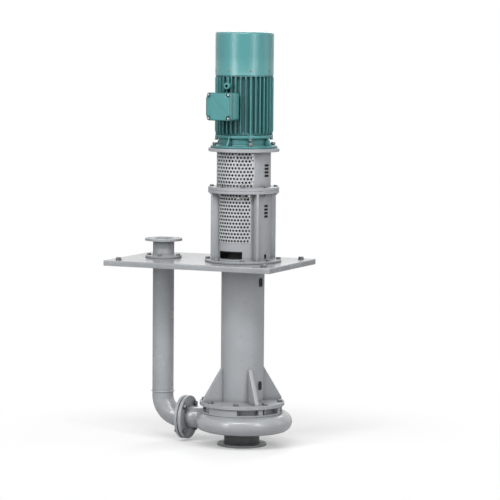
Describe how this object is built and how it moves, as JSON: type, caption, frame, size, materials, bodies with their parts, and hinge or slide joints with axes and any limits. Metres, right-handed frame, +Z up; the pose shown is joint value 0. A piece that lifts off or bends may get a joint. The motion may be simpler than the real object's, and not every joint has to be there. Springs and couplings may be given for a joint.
{
  "type": "vertical slurry pump",
  "caption": "Vertical column pump: volute casing and suction flange below a sole plate, rising discharge pipe, guarded lantern and finned electric motor on top.",
  "frame": {"origin": "centre of the suction flange's lower face, on the shaft axis", "axes": "+Z up along the shaft, -X towards the discharge line, -Y the front with the motor's terminal box"},
  "size_m": [0.957, 0.62, 2.1868],
  "materials": {
    "grey_paint": "gloss",
    "pale_plate": "gloss",
    "teal_paint": "satin",
    "dark_iron": "satin",
    "zinc": "satin",
    "steel": "satin",
    "copper": "satin",
    "rubber": "matte",
    "spider_rubber": "matte",
    "dark_plastic": "matte"
  },
  "bodies": {
    "stand": {"base_plate": "pale_plate", "column_pipe": "grey_paint", "volute_casing": "grey_paint", "casing_cover": "grey_paint", "suction_cover": "dark_iron", "shaft_seal": "rubber", "seal_gland": "dark_iron", "flange_gasket": "rubber", "discharge_elbow": "grey_paint", "discharge_riser": "grey_paint", "riser_flange": "grey_paint", "riser_collar": "grey_paint", "lower_lantern": "grey_paint", "upper_lantern": "grey_paint", "lower_front_guard": "grey_paint", "lower_rear_guard": "grey_paint", "upper_front_guard": "grey_paint", "upper_rear_guard": "grey_paint", "bearing_housing": "grey_paint", "lower_bearing_cover": "grey_paint", "upper_bearing_cover": "grey_paint", "lower_bearing_outer_race": "steel", "upper_bearing_outer_race": "steel", "casing_bolt_1": "zinc", "casing_bolt_2": "zinc", "casing_bolt_3": "zinc", "casing_bolt_4": "zinc", "casing_bolt_5": "zinc", "casing_bolt_6": "zinc", "casing_bolt_7": "zinc", "casing_bolt_8": "zinc", "line_bolt_1": "zinc", "line_bolt_2": "zinc", "line_bolt_3": "zinc", "line_bolt_4": "zinc", "drive_endshield": "teal_paint", "motor_frame": "teal_paint", "fan_endshield": "teal_paint", "fan_cowl": "teal_paint", "terminal_box": "teal_paint", "terminal_box_lid": "teal_paint", "terminal_block": "dark_plastic", "stator_core": "steel", "drive_winding_head": "copper", "fan_winding_head": "copper", "drive_bearing": "steel", "fan_bearing": "steel"},
    "pump_rotor": {"pump_shaft": "steel", "impeller": "dark_iron", "lower_bearing_inner_race": "steel", "upper_bearing_inner_race": "steel", "lower_bearing_rollers": "steel", "upper_bearing_rollers": "steel", "bearing_locknut": "steel", "pump_coupling_half": "dark_iron", "coupling_spider": "spider_rubber"},
    "motor_rotor": {"motor_shaft": "steel", "rotor_core": "steel", "cooling_fan": "dark_plastic", "motor_coupling_half": "dark_iron"}
  },
  "joints": [
    {"name": "pump_spin", "type": "hinge", "parent": "stand", "child": "pump_rotor", "pos_m": [0, 0, 1], "axis": [0, 0, 1], "continuous": true},
    {"name": "motor_spin", "type": "hinge", "parent": "stand", "child": "motor_rotor", "pos_m": [0, 0, 1.58], "axis": [0, 0, 1], "continuous": true}
  ],
  "couplings": [
    {"joint": "motor_spin", "follows": "pump_spin", "ratio": 1}
  ]
}
